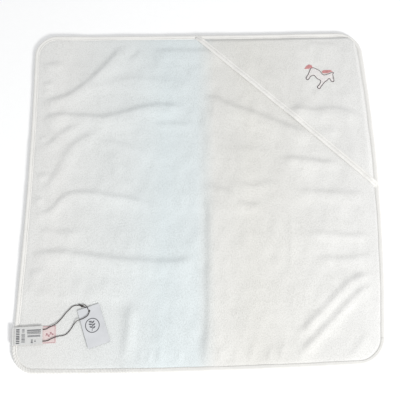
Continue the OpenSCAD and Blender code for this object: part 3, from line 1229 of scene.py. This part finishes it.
def on_card(u, v):
    """From the card's own frame, with its hole at the origin and +v to its top, to the row frame."""
    c, s = math.cos(CARD_TURN), math.sin(CARD_TURN)
    return HOLE_AT[0] + c * u - s * v, HOLE_AT[1] + s * u + c * v


def card_height(u, v):
    """The card is flat at the hole and bows up slightly at its lower right."""
    down = np.clip(-v / 40, 0, 1)
    return CARD_LOW + 1.1 * down * np.clip(u / 23, 0, 1) ** 2 + 0.4 * down ** 2


def add_card():
    """The card with its round hole, in rings from the hole out to the card's outline."""
    top = HOLE_DOWN
    bottom = HOLE_DOWN - CARD_LEN
    side = CARD_W / 2
    around = 96
    angles = np.linspace(0, 2 * math.pi, around, endpoint=False)
    corner = [math.atan2(top, side), math.atan2(top, -side), math.atan2(bottom, -side) + 2 * math.pi,
              math.atan2(bottom, side) + 2 * math.pi]
    for c in corner:
        angles[np.abs(angles - c).argmin()] = c
    direction = np.stack([np.cos(angles), np.sin(angles)], axis=1)
    tx = np.where(np.abs(direction[:, 0]) > 1e-9, side / np.maximum(np.abs(direction[:, 0]), 1e-9), 1e9)
    ty = np.where(direction[:, 1] > 0, top, -bottom) / np.maximum(np.abs(direction[:, 1]), 1e-9)
    outer = direction * np.minimum(tx, ty)[:, None]
    inner = direction * HOLE_R
    blends = [0.0, 0.04, 0.1, 0.2, 0.32, 0.46, 0.6, 0.74, 0.87, 0.97, 1.0]
    layers = []
    for lift in (CARD_HIGH - CARD_LOW, 0.0):
        for t in blends:
            p = inner * (1 - t) + outer * t
            x, y = on_card(p[:, 0], p[:, 1])
            layers.append(np.stack([x, y, card_height(p[:, 0], p[:, 1]) + lift], axis=1))
    n = len(blends)
    quads = [face for face in tube_faces(n, around) if len(face) == 4]
    faces = turned_over(quads) + shifted(quads, n * around)
    for i in (0, n - 1):
        for k in range(around):
            m = (k + 1) % around
            wall = (i * around + k, (n + i) * around + k, (n + i) * around + m, i * around + m)
            faces.append(wall if i else wall[::-1])
    obj = new_object("hang_tag_card", np.vstack(layers), faces, smooth_faces=0)
    dress(obj, CARD)
    return obj


def flat_stroke(points, width):
    """A thin band of ink along a line on the card."""
    line = np.asarray(points, float)
    along = np.gradient(line, axis=0)
    along /= np.maximum(np.linalg.norm(along, axis=1), 1e-9)[:, None]
    across = np.stack([-along[:, 1], along[:, 0]], axis=1)
    left = line + across * width / 2
    right = line - across * width / 2
    return left, right


def add_card_print():
    """A plain ring with a sprig of leaves."""
    centre = np.array([-2.0, -30.0])
    ring_r = 14.0
    ring_w = 1.7
    verts = []
    faces = []

    def add_band(left, right):
        base = len(verts)
        for p in list(left) + list(right):
            x, y = on_card(p[0], p[1])
            verts.append((x, y, card_height(p[0], p[1]) + CARD_HIGH - CARD_LOW + 0.05))
        n = len(left)
        for i in range(n - 1):
            faces.append((base + i, base + n + i, base + n + i + 1, base + i + 1))

    turn = np.linspace(0, 2 * math.pi, 73)
    outward = np.stack([np.cos(turn), np.sin(turn)], axis=1)
    add_band(centre + outward * (ring_r - ring_w / 2), centre + outward * (ring_r + ring_w / 2))
    stem = smooth_line([(-3.5, -10.5), (-1.5, -5), (0, 0), (0.5, 5), (0, 10)], 1.0) + centre
    add_band(*flat_stroke(stem, 1.1))
    for at, side in ((-6.5, 1), (-4, -1), (-1, 1), (1.5, -1), (4.5, 1), (6.5, -1)):
        t = np.linspace(0, 1, 13)
        reach = 7.4 - 0.25 * abs(at)
        spine = np.stack([side * reach * t + 0.08 * at, at + 3.4 * t], axis=1) + centre
        width = 3.2 * np.sin(math.pi * np.clip(t, 0.02, 0.98))
        normal = np.array([-3.4, side * reach])
        normal = normal / np.linalg.norm(normal)
        add_band(spine + normal * width[:, None] / 2, spine - normal * width[:, None] / 2)
    fix = [f if polygon_up(verts, f) else f[::-1] for f in faces]
    obj = new_object("hang_tag_print", verts, fix)
    dress(obj, INK)
    return obj


def polygon_up(verts, face):
    """Whether a face looks up."""
    a, b, c = (np.array(verts[i]) for i in face[:3])
    return np.cross(b - a, c - a)[2] > 0


card = add_card()
card_print = add_card_print()

# ---- Towel, label and tag pieces go with their bodies, the hood's pieces are baked in place, and the CAD parts they replace are hidden ----

for piece in (towel, binding, edge_stitches, edge_stitches_under):
    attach(piece, "towel")
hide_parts("towel_panel")
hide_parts("edge_binding")
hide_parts("edge_stitch_top")
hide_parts("edge_stitch_bottom")

for piece in (care_label, ribbon_label, bartack, cord, knot):
    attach(piece, "label")
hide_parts("care_label")
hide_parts("ribbon_label")
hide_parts("label_bartack")
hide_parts("tag_cord")
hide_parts("cord_knot")

for piece in (card, card_print):
    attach(piece, "tag")
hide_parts("hang_tag")

for (upper_piece, right_piece), replaced in (
        (hood_halves, "hood_panel"), (hood_bindings, "hood_binding"),
        (hood_stitches, "hood_stitch_top"), (hood_stitches_under, "hood_stitch_bottom")):
    hood_blend(upper_piece, True)
    hood_blend(right_piece, False)
    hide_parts(replaced)
    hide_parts(replaced)
for replaced, pieces in embroidery.items():
    for piece, is_upper in pieces:
        hood_blend(piece, is_upper)
        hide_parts(replaced)

# ---- Backing: the CAD disc under the hood keeps its shape and takes a fleece material ----

FLEECE = woven_material("backing_fleece", (0.80, 0.80, 0.80), (0.68, 0.68, 0.68), threads=900, strength=0.6)
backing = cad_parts["embroidery_backing"]
backing.data.materials.clear()
backing.data.materials.append(FLEECE)

# ---- Floor and light ----


def add_floor():
    """A pale floor well beyond the picture's edges."""
    mesh = bpy.data.meshes.new("floor")
    size = 12.0
    corners = [(-size, -size, 0), (size, -size, 0), (size, size, 0), (-size, size, 0)]
    mesh.from_pydata(corners, [], [(0, 1, 2, 3)])
    floor = bpy.data.objects.new("floor", mesh)
    bpy.context.scene.collection.objects.link(floor)
    mesh.materials.append(floor_material())


def add_area_light(name, place_at, aim_at, size, power, colour):
    """A round lamp aimed at a point, with its size in metres and its power in watts."""
    data = bpy.data.lights.new(name, "AREA")
    data.shape = "DISK"
    data.size = size
    data.energy = power
    data.color = colour
    light = bpy.data.objects.new(name, data)
    bpy.context.scene.collection.objects.link(light)
    light.location = place_at
    light.rotation_euler = (Vector(aim_at) - Vector(place_at)).to_track_quat("-Z", "Y").to_euler()


add_floor()
add_area_light("key", (1.75, -2.2, 1.45), (0, 0, 0), 0.8, 87, (1.0, 0.995, 0.985))
add_area_light("fill", (-1.2, 1.4, 2.6), (0, 0, 0), 2.4, 10, (0.99, 0.995, 1.0))
world = bpy.data.worlds.new("studio")
world.use_nodes = True
world.node_tree.nodes["Background"].inputs["Color"].default_value = (0.98, 0.99, 1.0, 1)
world.node_tree.nodes["Background"].inputs["Strength"].default_value = 0.645
bpy.context.scene.world = world
bpy.context.scene.view_settings.view_transform = "Standard"
